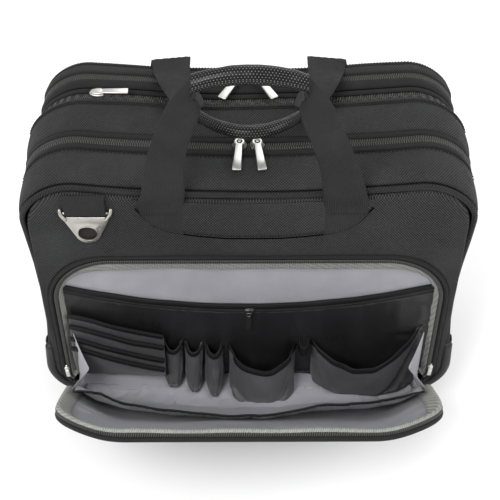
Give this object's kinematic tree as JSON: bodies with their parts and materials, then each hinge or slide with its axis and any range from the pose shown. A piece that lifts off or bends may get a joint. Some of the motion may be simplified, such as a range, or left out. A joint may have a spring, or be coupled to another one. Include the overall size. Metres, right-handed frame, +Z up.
{
  "type": "rolling pilot flight case",
  "caption": "Soft-sided rolling flight case with zipped compartments, an open organizer pocket, carry handles, a telescopic trolley and wheels.",
  "frame": {"origin": "on the floor, under the middle of the soft body", "axes": "+X to the case's right seen from the front, -Y to the front, +Z up"},
  "size_m": [0.412, 0.3555, 0.4497],
  "materials": {
    "nylon": "ballistic basket weave",
    "piping": "ribbed cord",
    "zip_tape": "woven tape with nylon coil",
    "webbing": "flat webbing",
    "grip_leather": "perforated",
    "lining": "light grey satin lining",
    "trim": "pale ribbed binding",
    "pocket_cloth": "dark grey satin",
    "moulded": "fine texture",
    "nickel": "satin nickel",
    "steel": "brushed",
    "tube": "satin anodised",
    "tyre": "smooth",
    "foot": "matt"
  },
  "bodies": {
    "case": {"edge_piping": "piping", "front_panel": "nylon", "rear_panel": "nylon", "front_gusset": "nylon", "middle_gusset": "nylon", "rear_gusset": "nylon", "front_zip_tape": "zip_tape", "expansion_zip_tape": "zip_tape", "rear_zip_tape": "zip_tape", "base_board": "moulded", "divider_panel": "pocket_cloth", "laptop_sleeve": "pocket_cloth", "corner_guards": "moulded", "front_feet": "foot", "handle_yoke": "nylon", "strap_bases": "webbing", "shoulder_tabs": "webbing", "pocket_rim": "trim", "organizer_wall": "lining", "zipped_pocket": "pocket_cloth", "card_slots": "lining", "pen_loops": "pocket_cloth", "centre_pouch": "pocket_cloth", "right_pouch": "pocket_cloth", "pocket_gussets": "lining", "wheel_housings": "moulded", "wheel_axles": "steel", "trolley_housing": "moulded", "outer_tubes": "tube"},
    "flap": {"flap_panel": "nylon", "flap_binding": "trim", "flap_slip_pocket": "lining"},
    "front_handle": {"front_handle_webbing": "webbing", "front_grip": "grip_leather"},
    "rear_handle": {"rear_handle_webbing": "webbing", "rear_grip": "grip_leather"},
    "front_ring": {"front_ring": "nickel"},
    "rear_ring": {"rear_ring": "nickel"},
    "trolley_middle": {"middle_tubes": "tube"},
    "trolley_top": {"inner_tubes": "tube", "trolley_grip": "moulded"},
    "button": {"release_button": "moulded", "push_rods": "steel"},
    "wheel_left": {"wheel_hub_left": "moulded", "tyre_left": "tyre"},
    "wheel_right": {"wheel_hub_right": "moulded", "tyre_right": "tyre"},
    "front_slider_left": {"front_slider_left": "nickel"},
    "front_slider_right": {"front_slider_right": "nickel"},
    "front_pull_left": {"front_pull_left": "nickel"},
    "front_pull_right": {"front_pull_right": "nickel"},
    "rear_slider_left": {"rear_slider_left": "nickel"},
    "rear_slider_right": {"rear_slider_right": "nickel"},
    "rear_pull_left": {"rear_pull_left": "nickel"},
    "rear_pull_right": {"rear_pull_right": "nickel"},
    "expansion_slider": {"expansion_slider": "nickel"},
    "pocket_slider_left": {"pocket_slider_left": "nickel"},
    "pocket_slider_right": {"pocket_slider_right": "nickel"},
    "inner_zip_slider": {"inner_zip_slider": "moulded"}
  },
  "joints": [
    {"name": "flap_hinge", "type": "hinge", "parent": "case", "child": "flap", "pos_m": [0, -0.092, 0.045], "axis": [1, 0, 0], "range_deg": [-51.5, 30]},
    {"name": "front_handle_hinge", "type": "hinge", "parent": "case", "child": "front_handle", "pos_m": [0, -0.0895, 0.325], "axis": [1, 0, 0], "range_deg": [-52, 130]},
    {"name": "rear_handle_hinge", "type": "hinge", "parent": "case", "child": "rear_handle", "pos_m": [0, 0.0895, 0.325], "axis": [1, 0, 0], "range_deg": [-74, 0]},
    {"name": "front_ring_hinge", "type": "hinge", "parent": "case", "child": "front_ring", "pos_m": [-0.145, -0.0907, 0.299], "axis": [1, 0, 0], "range_deg": [-100, 0]},
    {"name": "rear_ring_hinge", "type": "hinge", "parent": "case", "child": "rear_ring", "pos_m": [0.145, 0.0907, 0.299], "axis": [1, 0, 0], "range_deg": [0, 100]},
    {"name": "trolley_lower_slide", "type": "slide", "parent": "case", "child": "trolley_middle", "axis": [0, 0, 1], "range_m": [0, 0.19]},
    {"name": "trolley_upper_slide", "type": "slide", "parent": "trolley_middle", "child": "trolley_top", "axis": [0, 0, 1], "range_m": [0, 0.19]},
    {"name": "release_button_press", "type": "slide", "parent": "trolley_top", "child": "button", "axis": [0, 0, -1], "range_m": [0, 0.004]},
    {"name": "wheel_left_spin", "type": "hinge", "parent": "case", "child": "wheel_left", "pos_m": [-0.14, 0.082, 0.033], "axis": [1, 0, 0], "continuous": true},
    {"name": "wheel_right_spin", "type": "hinge", "parent": "case", "child": "wheel_right", "pos_m": [0.14, 0.082, 0.033], "axis": [1, 0, 0], "continuous": true},
    {"name": "front_zip_left_slide", "type": "slide", "parent": "case", "child": "front_slider_left", "axis": [-0.9971, 0, 0.0767], "range_m": [0, 0.13]},
    {"name": "front_zip_right_slide", "type": "slide", "parent": "case", "child": "front_slider_right", "axis": [0.9971, 0, 0.0767], "range_m": [0, 0.13]},
    {"name": "front_pull_left_swivel", "type": "hinge", "parent": "front_slider_left", "child": "front_pull_left", "pos_m": [-0.008, -0.026, 0.32], "axis": [0, 0, 1], "range_deg": [-70, 4]},
    {"name": "front_pull_right_swivel", "type": "hinge", "parent": "front_slider_right", "child": "front_pull_right", "pos_m": [0.008, -0.026, 0.32], "axis": [0, 0, 1], "range_deg": [-7, 70]},
    {"name": "rear_zip_left_slide", "type": "slide", "parent": "case", "child": "rear_slider_left", "axis": [-0.9971, 0, 0.0767], "range_m": [0, 0.08]},
    {"name": "rear_zip_right_slide", "type": "slide", "parent": "case", "child": "rear_slider_right", "axis": [0.9971, 0, 0.0767], "range_m": [0, 0.08]},
    {"name": "rear_pull_left_swivel", "type": "hinge", "parent": "rear_slider_left", "child": "rear_pull_left", "pos_m": [-0.008, 0.065, 0.32], "axis": [0, 0, 1], "range_deg": [-45, 28]},
    {"name": "rear_pull_right_swivel", "type": "hinge", "parent": "rear_slider_right", "child": "rear_pull_right", "pos_m": [0.008, 0.065, 0.32], "axis": [0, 0, 1], "range_deg": [-28, 45]},
    {"name": "expansion_zip_slide", "type": "slide", "parent": "case", "child": "expansion_slider", "axis": [1, 0, 0], "range_m": [0, 0.27]},
    {"name": "pocket_zip_left_slide", "type": "slide", "parent": "case", "child": "pocket_slider_left", "axis": [0, 0, 1], "range_m": [0, 0.09]},
    {"name": "pocket_zip_right_slide", "type": "slide", "parent": "case", "child": "pocket_slider_right", "axis": [0, 0, 1], "range_m": [0, 0.09]},
    {"name": "inner_zip_slide", "type": "slide", "parent": "case", "child": "inner_zip_slider", "axis": [1, 0, 0], "range_m": [-0.07, 0.14]}
  ]
}
